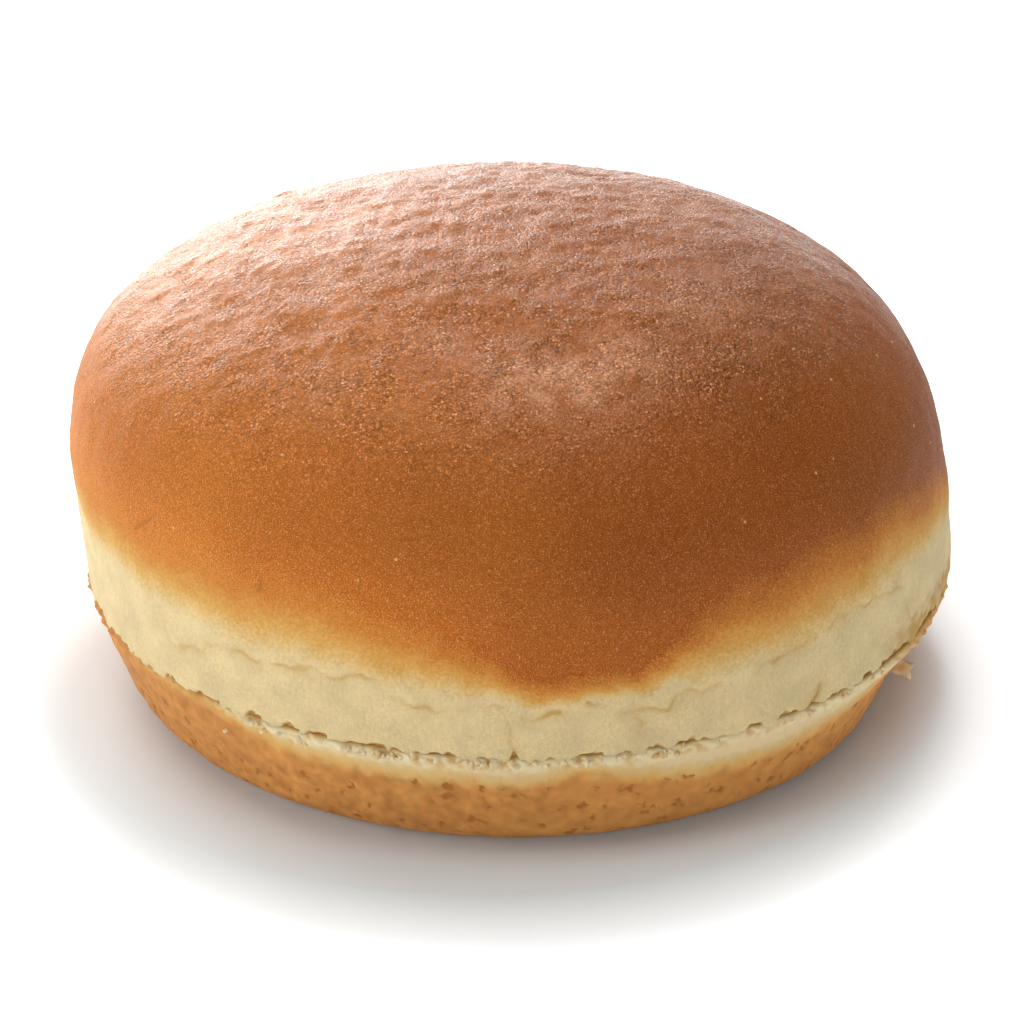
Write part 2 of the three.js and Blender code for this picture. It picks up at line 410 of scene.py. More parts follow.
def foldPaleSide(obj):
    points = readPoints(obj)
    out = outwards(points)
    near = np.flatnonzero((points[:, 2] < 30) & (radiusOf(points) > 40))
    spots = points[near]
    azimuth = azimuthOf(spots)
    look = creaseLook
    radius = crownShape["cutRadius"]
    stray = np.stack([grain(spots, 1.8, seed=51), grain(spots, 1.8, seed=52), np.zeros(len(near))], axis=1)
    flat = unroll(spots, radius) + look["wander"] * stray
    strength = np.clip(0.8 + 1.2 * grain(spots, 3.2, seed=54), 0.2, 1.4)
    push = np.zeros(len(near))
    mark = np.zeros(len(near))
    for depth, roll, line in allCreases():
        away = lineDistance(flat, unroll(np.array([onRing(*spot) for spot in line]), radius))
        at, _, level = zip(*sorted(line))
        above = fade(-0.2, 0.6, flat[:, 1] - np.interp(azimuth, at, level))
        push -= look["sunk"] * depth * strength * np.exp(-(away / look["width"]) ** 2)
        push += look["risen"] * roll * above * np.exp(-((away - look["rollAway"]) / look["rollReach"]) ** 2)
        # the fold is ochre, in a wider faint tint, stronger the deeper the fold: partly the dough's colour,
        # partly painted shade
        ochre = look["ochre"] * strength * np.exp(-(away / look["width"] / 1.2) ** 2)
        wideTintAndShade = look["wideTintAndShade"] * strength * np.exp(-(away / look["width"] / 4) ** 2)
        mark = np.maximum(mark, depth / look["fullDepth"] * np.maximum(ochre, wideTintAndShade))
    # the crust stands a little proud of the pale side
    edge, length = crustEdgeAt(azimuth)
    rise = (spots[:, 2] - edge) / length
    push += crustEdge["ledge"] * np.exp(-((rise - 0.5) / 0.5) ** 2)
    push -= crustEdge["underLedge"] * np.exp(-((rise + 0.35) / 0.3) ** 2)
    points[near] += out[near] * push[:, None]
    writePoints(obj, points)
    creaseMark = np.zeros(len(points))
    creaseMark[near] = mark
    return creaseMark


def markCrust(obj):
    points = readPoints(obj)
    normals = readNormals(obj)
    slit = np.zeros(len(points))
    push = np.zeros(len(points))
    for depth, width, lip, line in crustMarks:
        away = lineDistance(points, seatLine(points, line))
        push -= depth * np.exp(-(away / width) ** 2)
        push += lip * np.exp(-((away - 2.2 * width) / width) ** 2)
        slit = np.maximum(slit, np.exp(-(away / width / 1.2) ** 2))
    writePoints(obj, points + normals * push[:, None])
    return slit


def tearCrownRim(obj):
    h = seamHoles
    points = readPoints(obj)
    out = outwards(points)
    near = np.flatnonzero((points[:, 2] < rimHeight + 5) & (radiusOf(points) > 44))
    spots = points[near]
    azimuth = azimuthOf(spots)
    aboveRim = spots[:, 2] - rimHeight
    rough = grain(spots * (1, 1, 1.4), 1.2, seed=3) + 0.5 * grain(spots * (1, 1, 1.4), 0.7, seed=4)
    depth = np.zeros(len(near))
    for start, end, height in allSeamHoles():
        middle, half = (start + end) / 2, (end - start) / 2
        offset = np.abs((azimuth - middle + 180) % 360 - 180) / half
        arch = h["taller"] * height * np.clip(1 - offset ** 2, 0, 1) ** 0.3
        arch += (0.12 + h["ragged"] * rough) * (offset < 1)
        depth = np.maximum(depth, fade(0, h["softEdge"], arch - aboveRim) * (offset < 1))
    points[near] -= out[near] * (depth * h["depth"])[:, None]
    ragged = fade(h["raggedBand"], 0, aboveRim)
    points[near, 2] += ragged * (h["raggedUp"] * rough - 0.04)
    points[near] += out[near] * (ragged * (h["raggedOut"] * grain(spots, 0.9, seed=5) - 0.06))[:, None]
    writePoints(obj, points)
    # the holes get the ochre of painted shade, and the rim is browned in patches at the right
    begin, first, last, stop = h["browned"]
    full, none = h["brownedHeight"]
    browned = fade(begin, first, azimuth) * fade(stop, last, azimuth)
    browned *= fade(none, full, aboveRim + 1.2 * rough)
    browned *= np.clip(0.95 + 0.9 * grain(spots, 1.6, seed=6), 0.3, 1)
    tornShadeAndBrowning = np.zeros(len(points))
    tornShadeAndBrowning[near] = np.maximum(depth, browned)
    return tornShadeAndBrowning


crown = buildCrown()
splitFaces(crown, lambda c: c[:, 2] < rimHeight + crownShape["rimBand"])
splitFaces(crown, nearLines)
closeCut(crown, crownShape["cutRadius"], rimHeight, crownShape["cutSteps"])
print("crown net:", len(crown.data.polygons), "faces")

crownPoints = readPoints(crown)
relief = crustRelief
footAngle = np.radians(azimuthOf(crownPoints) + relief["footTurn"])
wrinkleFoot = relief["foot"] + relief["footTilt"] * np.cos(footAngle)
wrinkleFoot += relief["footWobble"] * grain(crownPoints, 9, seed=12)
wrinkled = fade(wrinkleFoot - relief["footBelow"], wrinkleFoot + relief["footAbove"], crownPoints[:, 2])
keep = relief["smoothFront"]
calm = np.interp(crownPoints[:, 0], *zip(*relief["across"]))
paintGroup(crown, "wrinkled", keep + (1 - keep) * wrinkled * calm)
paintGroup(crown, "skin", fade(14, 17, crownPoints[:, 2]))
ripple(crown, "crustSwells", *relief["swells"], "wrinkled", octaves=1)
ripple(crown, "crustWrinkles", *relief["wrinkles"], "wrinkled", octaves=1)
ripple(crown, "crustPebbles", *relief["pebbles"], "wrinkled", octaves=0)
ripple(crown, "skinUnevenness", *relief["skin"], "skin")
pressDimples(crown)
creaseMark = foldPaleSide(crown)
slitMark = markCrust(crown)
tornShadeAndBrowning = tearCrownRim(crown)

crownPoints = readPoints(crown)
edgeHeight, edgeFade = crustEdgeAt(azimuthOf(crownPoints))
aboveEdge = crownPoints[:, 2] - edgeHeight
aboveEdge += crustEdge["lobes"] * grain(crownPoints * (1, 1, 0.5), 7, seed=8)
aboveEdge += crustEdge["wobble"] * grain(crownPoints, 2.2, seed=9)
pebbled = np.clip(0.75 + 0.7 * grain(crownPoints, 3, seed=61), 0.3, 1)
leftToRight = 0.5 + crownPoints[:, 0] / 96
blotches = 0.1 * grain(crownPoints, 3.4, seed=63) + 0.06 * grain(crownPoints, 1.6, seed=64)
paintAttribute(crown, "bake", np.clip(0.3 + 0.25 * aboveEdge / edgeFade, 0, 1))
paintAttribute(crown, "deepening", fade(0, crustEdge["deepening"], aboveEdge))
paintAttribute(crown, "leathery", wrinkled)
paintAttribute(crown, "pebbly", (0.15 + 0.85 * wrinkled) * pebbled)
paintAttribute(crown, "tone", np.clip(leftToRight + 0.15 * grain(crownPoints, 14, seed=62), 0, 1))
paintAttribute(crown, "blotch", 0.98 + blotches)
paintAttribute(crown, "paintedSheen", paintSheenSpots(crownPoints))
paintAttribute(crown, "crease", np.clip(creaseMark, 0, 1))
paintAttribute(crown, "slit", slitMark)
paintAttribute(crown, "torn", tornShadeAndBrowning)
print("crown done:", sum(len(p.vertices) - 2 for p in crown.data.polygons), "triangles")


# heel: the shallow bottom half

heelShape = {
    "sides": 128,
    "lipRadius": 49, "wallRadius": 47, "footRadius": 5, "baseRadius": 42,
    "wallRings": 4, "footRings": 5,
    "capRadius": 38,
    "wallCuts": 3,  # extra cuts in each face of the wall
    "cutSteps": [(0.35, 0.36), (1.3, 0.1), (4, 0)],
    "pinch": (-18, 21, 2.2),  # the right side draws in: azimuth, spread, depth
    "lumps": (4, 0.4), "grain": (1.2, 0.2),  # mm across and their depth
}

lipLine = [  # where the pale lip turns golden: azimuth, height
    (-180, 14.5), (-150, 14.2), (-136, 13.4), (-126, 11.6), (-110, 10.3), (-90, 10.3), (-82, 11.4),
    (-76, 10.2), (-70, 9.4), (-58, 8.7), (-45, 9.5), (-36, 10.8), (-26, 13), (0, 14), (30, 13), (60, 10.4),
    (95, 9.8), (130, 10.8), (160, 13), (180, 14.5),
]

lipCrumb = [  # how white and crumbly the lip is: azimuth, share
    (-180, 0.1), (-145, 0.15), (-128, 0.7), (-113, 1), (-90, 1), (-86, 0.3), (-81, 0.3), (-79, 1), (-70, 1),
    (-67, 0.4), (-55, 0.6), (-35, 0.6), (-10, 0.4), (30, 0.8), (80, 0.4), (110, 1), (150, 0.5), (180, 0.1),
]

lipTear = {  # how far the torn lip goes out and up, in mm
    "coarse": 0.45, "fine": 0.5,
    "out": 0.85, "outEven": 0.4, "up": 0.18,
}

heelPits = {
    "count": 900, "size": (0.2, 0.5), "depth": (0.06, 0.22),
    "lowest": 0.5, "highest": 9.2, "lowerMore": 1.6,
    "stray": 0.7, "colour": 1.8, "seed": 4,
}

heelMottle = [  # azimuth, how mottled the wall is, how light
    (-180, 1, 0.95), (-140, 1, 0.95), (-120, 1, 0.95), (-106, 1, 0.88), (-88, 0.9, 0.97), (-72, 0.6, 1.0),
    (-35, 0.5, 1.1), (0, 0.5, 1.05), (60, 0.8, 1.0), (180, 1, 0.95),
]


def buildHeel():
    s = heelShape
    rings = [(s["lipRadius"], cutHeight)]
    for i in range(1, s["wallRings"] + 1):
        t = i / s["wallRings"]
        rings.append((s["lipRadius"] + (s["wallRadius"] - s["lipRadius"]) * t ** 2,
                      cutHeight + (s["footRadius"] - cutHeight) * t))
    for i in range(1, s["footRings"] + 1):
        a = math.pi / 2 * i / s["footRings"]
        rings.append((s["baseRadius"] + s["footRadius"] * math.cos(a), s["footRadius"] * (1 - math.sin(a))))
    rings.append((s["capRadius"], 0))
    obj = startRing("heelCrust", s["sides"], rings[0])
    pullRings(rings)
    bpy.ops.mesh.fill_grid(span=s["sides"] // 4)
    bpy.ops.object.mode_set(mode="OBJECT")
    selectVertices(obj, radiusOf(readPoints(obj)) < s["capRadius"] + 0.5)
    bpy.ops.mesh.vertices_smooth(factor=0.5, repeat=30)
    bpy.ops.object.mode_set(mode="OBJECT")
    paintGroup(obj, "belowLip", readPoints(obj)[:, 2] < cutHeight - 0.1)
    addAndApply(obj, "SHRINKWRAP", target=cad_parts["heel"], vertex_group="belowLip")
    addAndApply(obj, "SUBSURF", levels=1, render_levels=1)
    splitFaces(obj, lambda c: radiusOf(c) > s["baseRadius"], s["wallCuts"])
    return obj


def pinchWall(obj):
    middle, spread, depth = heelShape["pinch"]
    points = readPoints(obj)
    beside = np.exp(-(((azimuthOf(points) - middle + 180) % 360 - 180) / spread) ** 2)
    low = fade(cutHeight - 0.5, cutHeight - 5, points[:, 2]) * fade(30, 44, radiusOf(points))
    writePoints(obj, points - outwards(points) * (depth * beside * low)[:, None])


def dentPits(obj):
    p = heelPits
    draw = random.Random(p["seed"])
    points = readPoints(obj)
    normals = readNormals(obj)
    onWall = np.flatnonzero((points[:, 2] > 0.05) & (points[:, 2] < 11) & (radiusOf(points) > 42))
    spots = points[onWall]
    azimuth = azimuthOf(spots)
    warp = np.stack([grain(spots, 0.7, seed=k) for k in (21, 22, 23)], axis=1)
    warped = spots + p["stray"] * warp
    dent = np.zeros(len(onWall))
    order = np.argsort(azimuth)
    sortedAzimuth = azimuth[order]
    for _ in range(p["count"]):
        a = draw.uniform(-180, 180)
        height = p["lowest"] + (p["highest"] - p["lowest"]) * draw.random() ** p["lowerMore"]
        size = draw.uniform(*p["size"])
        depth = draw.uniform(*p["depth"])
        first, last = np.searchsorted(sortedAzimuth, (a - 2.5, a + 2.5))
        close = order[first:last]
        if len(close) == 0:
            continue
        level = close[np.argmin(np.abs(azimuth[close] - a) + np.abs(spots[close, 2] - height))]
        away = np.linalg.norm(warped[close] - spots[level], axis=1)
        dent[close] = np.maximum(dent[close], depth * np.exp(-(away / size) ** 2))
    points[onWall] -= normals[onWall] * dent[:, None]
    points[:, 2] = np.maximum(points[:, 2], 0)
    writePoints(obj, points)
    pitMark = np.zeros(len(points))
    pitMark[onWall] = p["colour"] * dent / p["depth"][1]
    return pitMark


def tearHeelLip(obj):
    points = readPoints(obj)
    out = outwards(points)
    near = np.flatnonzero((points[:, 2] > cutHeight - 3) & (radiusOf(points) > 44))
    spots = points[near]
    t = lipTear
    top = fade(cutHeight - 2, cutHeight - 0.3, spots[:, 2])
    crumbly = t["coarse"] * grain(spots, 1.2, seed=31) + t["fine"] * grain(spots, 0.75, seed=32)
    points[near] += out[near] * (top * (t["out"] * crumbly + t["outEven"]))[:, None]
    points[near, 2] += top * (t["up"] * grain(spots, 1.3, seed=33) + 0.02)
    writePoints(obj, points)
    white = np.interp(azimuthOf(spots), *zip(*lipCrumb))
    crumbMark = np.zeros(len(points))
    crumbMark[near] = top * np.clip(0.6 + 1.8 * crumbly, 0, 1) * white
    # the hollows of the torn lip, tinted later as painted shade
    hollowShade = np.zeros(len(points))
    hollowShade[near] = top * np.clip(-3 * crumbly - 0.25, 0, 1)
    return crumbMark, hollowShade


heel = buildHeel()
lipRadius = heelShape["lipRadius"]
closeCut(heel, lipRadius, cutHeight, heelShape["cutSteps"])
print("heel net:", len(heel.data.polygons), "faces")
pinchWall(heel)
heelPoints = readPoints(heel)
heights = heelPoints[:, 2]
paintGroup(heel, "wall", fade(0.05, 2, heights) * fade(cutHeight - 0.2, cutHeight - 2, heights))
ripple(heel, "heelLumps", *heelShape["lumps"], "wall")
ripple(heel, "heelGrain", *heelShape["grain"], "wall")
pitMark = dentPits(heel)
crumbMark, hollowShade = tearHeelLip(heel)
heelPoints = readPoints(heel)
heights = heelPoints[:, 2]
turn = azimuthOf(heelPoints)
lipFoot = np.interp(turn, *zip(*lipLine))
lipFoot += 0.7 * grain(heelPoints * (1, 1, 0.4), 6, seed=41) + 0.4 * grain(heelPoints, 1.5, seed=42)
paintAttribute(heel, "lip", np.clip((heights - lipFoot) / 4 + 0.5, 0, 1))
paintAttribute(heel, "crumbly", crumbMark)
mottled = 0.16 * grain(heelPoints, 1.5, seed=45) + 0.16 * grain(heelPoints, 0.8, seed=46)
around, shares, lights = zip(*heelMottle)
share = np.interp(turn, around, shares)
paintAttribute(heel, "pit", np.clip(pitMark, 0, 1) * (0.5 + 0.5 * share))
paintAttribute(heel, "mottle", np.interp(turn, around, lights) + mottled * share)
# painted shade: the heel's cut face, seen through the holes in the crown's edge, and the hollows of the
# torn lip are tinted ochre
inwards = fade(lipRadius - 0.3, lipRadius - 0.9, radiusOf(heelPoints)) * (heights > 11)
cutFace = np.maximum(fade(cutHeight + 0.05, cutHeight + 0.3, heights), inwards)
paintAttribute(heel, "inside", np.maximum(cutFace, 0.7 * hollowShade))
print("heel done:", sum(len(p.vertices) - 2 for p in heel.data.polygons), "triangles")


# crumbs: white bits of the torn cut, one flake hanging at the right

crumbPlan = {
    "size": (0.22, 0.46), "rough": 0.35, "seed": 19,
    "ring": 49.5, "below": (0.1, 0.7),  # radius, and mm below the cut
    # azimuth from, azimuth to, how many
    "along": [(-130, -112, 6), (-112, -88, 34), (-88, -63, 22), (-63, -35, 6), (20, 160, 16)],
    # azimuth, radius, height
    "stuck": [(-130.6, 48.3, 9.0), (-131.2, 48.2, 8.7), (-130.2, 48.4, 9.3),
              (-118, 48.8, 10.9), (-117, 48.9, 11.2)],
    "flake": (-22, 46.7, 6.3), "flakeSize": (2.2, 1.7), "flakeTurn": (58, 10, -20), "flakeThick": 0.14,
}


def makeCrumb(seed):
    bpy.ops.object.select_all(action="DESELECT")
    bpy.ops.mesh.primitive_ico_sphere_add(subdivisions=2, radius=mm)
    crumb = bpy.context.object
    bpy.ops.object.mode_set(mode="EDIT")
    bpy.ops.mesh.select_all(action="SELECT")
    bpy.ops.transform.vertex_random(offset=crumbPlan["rough"] * mm, uniform=0.4, normal=0.6, seed=seed)
    bpy.ops.object.mode_set(mode="OBJECT")
    return crumb


def makeFlake():
    p = crumbPlan
    bpy.ops.object.select_all(action="DESELECT")
    bpy.ops.mesh.primitive_grid_add(x_subdivisions=6, y_subdivisions=4, size=mm)
    flake = bpy.context.object
    flake.scale = (*p["flakeSize"], 1)
    flake.rotation_euler = [math.radians(a) for a in p["flakeTurn"]]
    flake.location = bunAxis + Vector(onRing(*p["flake"])) * mm
    bpy.ops.object.transform_apply(location=True, rotation=True, scale=True)
    bpy.ops.object.mode_set(mode="EDIT")
    bpy.ops.mesh.select_all(action="SELECT")
    bpy.ops.transform.vertex_random(offset=0.22 * mm, uniform=0.3, normal=0.3, seed=3)
    bpy.ops.object.mode_set(mode="OBJECT")
    addAndApply(flake, "SOLIDIFY", thickness=p["flakeThick"] * mm, offset=0)
    return flake


def scatterCrumbs(lipPoints):
    p = crumbPlan
    draw = random.Random(p["seed"])
    shapes = [makeCrumb(seed) for seed in (1, 2, 3)]
    places = [onRing(*spot) for spot in p["stuck"]]
    for start, end, count in p["along"]:
        for _ in range(count):
            target = onRing(draw.uniform(start, end), p["ring"], cutHeight - draw.uniform(*p["below"]))
            places.append(lipPoints[np.argmin(np.linalg.norm(lipPoints - target, axis=1))])
    copies = []
    for place in places:
        copy = shapes[draw.randrange(3)].copy()
        copy.data = copy.data.copy()
        bpy.context.collection.objects.link(copy)
        size = draw.uniform(*p["size"])
        copy.scale = [size * draw.uniform(0.7, 1.2) for _ in range(3)]
        copy.rotation_euler = [draw.uniform(0, 6.28) for _ in range(3)]  # any way round
        copy.location = bunAxis + Vector(place) * mm
        copies.append(copy)
    for shape in shapes:
        bpy.data.objects.remove(shape)
    flake = makeFlake()
    pickOnly(flake)
    for copy in copies:
        copy.select_set(True)
    bpy.ops.object.join()
    flake.name = flake.data.name = "looseCrumbs"
    bpy.ops.object.transform_apply(location=True, rotation=True, scale=True)
    return flake


heelPoints = readPoints(heel)
crumbs = scatterCrumbs(heelPoints[(heelPoints[:, 2] > cutHeight - 1) & (radiusOf(heelPoints) > 48.2)])
print("crumbs done:", len(crumbs.data.polygons), "faces")


# finishes

def addNode(tree, kind, values=None, **settings):
    node = tree.nodes.new(kind)
    for name, value in settings.items():
        setattr(node, name, value)
    for socket, value in (values or {}).items():
        if isinstance(value, bpy.types.NodeSocket):
            tree.links.new(value, node.inputs[socket])
        else:
            node.inputs[socket].default_value = value
    return node


def startFinish(name):
    material = bpy.data.materials.new(name)
    material.use_nodes = True
    tree = material.node_tree
    return material, tree, tree.nodes["Principled BSDF"]


def objectPlace(tree):
    return addNode(tree, "ShaderNodeTexCoord").outputs["Object"]


def readAttribute(tree, name):
    return addNode(tree, "ShaderNodeAttribute", attribute_name=name).outputs["Fac"]


def speckle(tree, size, detail=2, stretch=(1, 1, 1)):  # noise whose grains are about size mm
    place = objectPlace(tree)
    if stretch != (1, 1, 1):
        place = addNode(tree, "ShaderNodeMapping", {"Vector": place, "Scale": stretch}).outputs[0]
    return addNode(tree, "ShaderNodeTexNoise",
                   {"Vector": place, "Scale": 1 / (size * mm), "Detail": detail}).outputs["Fac"]


def calculate(tree, operation, first, second=0.0):
    return addNode(tree, "ShaderNodeMath", {0: first, 1: second}, operation=operation).outputs[0]


def remap(tree, value, fromLow, fromHigh, toLow=0.0, toHigh=1.0):
    return addNode(tree, "ShaderNodeMapRange", {
        "Value": value, "From Min": fromLow, "From Max": fromHigh,
        "To Min": toLow, "To Max": toHigh}).outputs[0]


def cells(tree, size):  # cells size mm wide: the distance from each middle, and a draw from 0 to 1 for each
    node = addNode(tree, "ShaderNodeTexVoronoi", {"Vector": objectPlace(tree), "Scale": 1 / (size * mm)})
    draw = addNode(tree, "ShaderNodeSeparateColor", {0: node.outputs["Color"]}).outputs[0]
    return node.outputs["Distance"], draw


def dots(tree, spacing, size):  # round specks of size mm, one in each cell
    away, draw = cells(tree, spacing)
    reach = size / spacing / 2
    return remap(tree, away, reach, reach * 0.6), draw


def granules(tree, size):  # the dip between grains, 0 on top of each, and the tone of each
    away, tone = cells(tree, size)
    return calculate(tree, "MULTIPLY", away, away), tone


def blendColours(tree, amount, first, second, kind="MIX"):
    return addNode(tree, "ShaderNodeMix", {0: amount, 6: first, 7: second},
                   data_type="RGBA", blend_type=kind).outputs[2]


def shade(tree, colour, level, amount=1.0):  # lighter or darker by a level near 1
    grey = addNode(tree, "ShaderNodeCombineColor", {0: level, 1: level, 2: level}).outputs[0]
    return blendColours(tree, amount, colour, grey, "MULTIPLY")


def colourRamp(tree, value, stops):
    ramp = addNode(tree, "ShaderNodeValToRGB", {"Fac": value})
    points = ramp.color_ramp.elements
    while len(points) < len(stops):
        points.new(0.5)
    for point, (at, colour) in zip(points, stops):
        point.position = at
        point.color = (*colour, 1)
    return ramp.outputs["Color"]


def addBump(tree, surface, height, depth):
    bump = addNode(tree, "ShaderNodeBump", {"Height": height, "Distance": depth * mm})
    tree.links.new(bump.outputs["Normal"], surface.inputs["Normal"])


def softInside(surface, depth):  # light goes a little way into the crumb
    surface.inputs["Subsurface Radius"].default_value = (1.0, 0.6, 0.3)
    surface.inputs["Subsurface Scale"].default_value = depth * mm


crustFinish = {
    "pale": (0.86, 0.672, 0.357), "straw": (0.82, 0.56, 0.225), "golden": (0.76, 0.39, 0.092),
    "orange": (0.70, 0.262, 0.042),
    "brown": [(0.05, (0.64, 0.190, 0.016)), (0.30, (0.54, 0.147, 0.012)),  # from the left to the right side
              (0.58, (0.405, 0.098, 0.006)), (0.92, (0.325, 0.077, 0.004))],
    "speck": (0.87, 0.53, 0.20), "glint": (0.86, 0.53, 0.31), "paintedSheen": (0.80, 0.39, 0.21),
    "pinholeShade": (0.16, 0.05, 0.012), "slit": (0.42, 0.13, 0.02),
    "crease": (0.62, 0.345, 0.075), "tearShadeAndBrowning": (0.60, 0.33, 0.085),
    "granules": 0.30, "grains": 0.13, "leather": 0.6,  # mm across
    "specks": (2.0, 0.42),  # mm apart and across
    "topRoughness": (0.22, 0.46), "frontRoughness": 0.65, "paleRoughness": 0.8,
    "specular": 0.32, "specularTint": (1.0, 0.82, 0.62),
}


def makeCrustFinish():
    c = crustFinish
    material, tree, surface = startFinish("brownedCrust")
    bake = calculate(tree, "ADD", readAttribute(tree, "bake"),
                     remap(tree, speckle(tree, 0.4), 0.3, 0.7, -0.04, 0.04))
    onCrust = remap(tree, bake, 0.4, 0.62)
    onTop = readAttribute(tree, "leathery")
    colour = colourRamp(tree, bake, [
        (0.155, c["pale"]), (0.23, c["straw"]), (0.32, c["golden"]), (0.45, c["orange"])])

    # the brown is lighter on the left and deeper on the right, in soft patches
    colour = blendColours(tree, onCrust, colour, colourRamp(tree, readAttribute(tree, "tone"), c["brown"]))
    deepening = remap(tree, readAttribute(tree, "deepening"), 0.0, 1.0, 1.22, 0.97)
    colour = shade(tree, colour, deepening, onCrust)

    # fine light and dark grain on the crust with painted glints; on top, round grains with painted glints,
    # painted sheen and painted shade between them
    grains = speckle(tree, c["grains"], 1)
    onGolden = remap(tree, bake, 0.3, 0.6)
    # the fine grain is lighter where its bump stands higher: partly the crust's own grain, partly painted
    # highlight
    colour = shade(tree, colour, remap(tree, grains, 0.25, 0.75, 0.55, 1.4), onGolden)
    # painted glints where the fine grain stands highest
    glints = calculate(tree, "MULTIPLY", remap(tree, grains, 0.6, 0.75, 0.0, 0.5), onGolden)
    colour = blendColours(tree, glints, colour, (*c["glint"], 1))
    dip, tone = granules(tree, c["granules"])
    rough = readAttribute(tree, "pebbly")
    # painted glints on the tops of some round grains
    onGrain = remap(tree, dip, 0.0, 0.35, 1.0, 0.0)
    glints = calculate(tree, "MULTIPLY", remap(tree, tone, 0.8, 0.95, 0.0, 0.6), onGrain)
    colour = blendColours(tree, calculate(tree, "MULTIPLY", glints, rough), colour, (*c["glint"], 1))
    # painted sheen, strongest on the tops of the round grains
    paintedSheen = calculate(tree, "MULTIPLY", readAttribute(tree, "paintedSheen"), remap(tree, dip, 0.0, 0.4, 0.8, 0.4))
    colour = blendColours(tree, paintedSheen, colour, (*c["paintedSheen"], 1))
    # painted shade in the dips between the round grains, painted light on their tops
    colour = shade(tree, colour, remap(tree, dip, 0.0, 0.5, 1.16, 0.72), rough)
    colour = shade(tree, colour, remap(tree, tone, 0.0, 1.0, 0.66, 1.3), rough)
    leather = speckle(tree, c["leather"], 1)
    # painted shade of the leathery relief: lighter where it stands higher, darker where it sinks
    colour = shade(tree, colour, remap(tree, leather, 0.3, 0.7, 0.86, 1.12), onTop)

    # pale specks; pinholes as dark dots, painted shade; darker orange in the slits, partly painted shade
    spots, draw = dots(tree, *c["specks"])
    spots = calculate(tree, "MULTIPLY", spots, onCrust)
    spotKinds = [("LESS_THAN", 0.2, 0.8, "speck"), ("GREATER_THAN", 0.95, 0.7, "pinholeShade")]
    for test, limit, strength, tint in spotKinds:
        chosen = calculate(tree, "MULTIPLY", calculate(tree, test, draw, limit), strength)
        colour = blendColours(tree, calculate(tree, "MULTIPLY", spots, chosen), colour, (*c[tint], 1))
    # darker orange along the cracks and slits, partly painted shade
    slit = calculate(tree, "MULTIPLY", readAttribute(tree, "slit"), 0.6)
    colour = blendColours(tree, slit, colour, (*c["slit"], 1))

    # pale side: faint upright fibres; ochre in the creases, partly painted shade; ochre in the torn holes
    # as painted shade, and on the browned rim at the right
    paleness = remap(tree, bake, 0.35, 0.12)
    fibres = remap(tree, speckle(tree, 0.3, 2, (1, 1, 0.5)), 0.35, 0.65, 0.96, 1.03)
    colour = shade(tree, colour, fibres, paleness)
    colour = shade(tree, colour, readAttribute(tree, "blotch"), paleness)
    for name, strength, tint in (("crease", 0.9, "crease"), ("torn", 0.9, "tearShadeAndBrowning")):
        amount = calculate(tree, "MULTIPLY", readAttribute(tree, name), strength)
        colour = blendColours(tree, amount, colour, (*c[tint], 1))
    tree.links.new(colour, surface.inputs["Base Color"])

    # a soft gloss on top, dull at the front and on the pale side
    gloss = remap(tree, leather, 0.3, 0.7, *c["topRoughness"])
    gloss = addNode(tree, "ShaderNodeMix", {0: onTop, 2: c["frontRoughness"], 3: gloss}).outputs[0]
    gloss = addNode(tree, "ShaderNodeMix", {0: onCrust, 2: c["paleRoughness"], 3: gloss}).outputs[0]
    tree.links.new(gloss, surface.inputs["Roughness"])
    surface.inputs["Specular IOR Level"].default_value = c["specular"]
    surface.inputs["Specular Tint"].default_value = (*c["specularTint"], 1)

    # leathery unevenness, fine grain and the valleys between the round grains
    leather = calculate(tree, "MULTIPLY", leather, remap(tree, onTop, 0.0, 1.0, 0.02, 0.10))
    fine = calculate(tree, "MULTIPLY", grains, remap(tree, onTop, 0.0, 1.0, 0.04, 0.06))
    valleys = calculate(tree, "MULTIPLY", dip, calculate(tree, "MULTIPLY", rough, 0.13))
    height = calculate(tree, "SUBTRACT", calculate(tree, "ADD", leather, fine), valleys)
    addBump(tree, surface, height, 1.0)
    tree.links.new(calculate(tree, "MULTIPLY", paleness, 0.3), surface.inputs["Subsurface Weight"])
    softInside(surface, 1.5)
    return material


heelFinish = {
    "lip": (0.88, 0.67, 0.37), "straw": (0.82, 0.58, 0.25), "golden": (0.83, 0.48, 0.145),
    "brown": (0.74, 0.315, 0.072), "dark": (0.61, 0.235, 0.052), "pit": (0.45, 0.155, 0.026),
    "crumb": (0.95, 0.785, 0.50), "inside": (0.66, 0.39, 0.12),
    "patches": 2.4, "roughness": 0.7, "specular": 0.3,
}


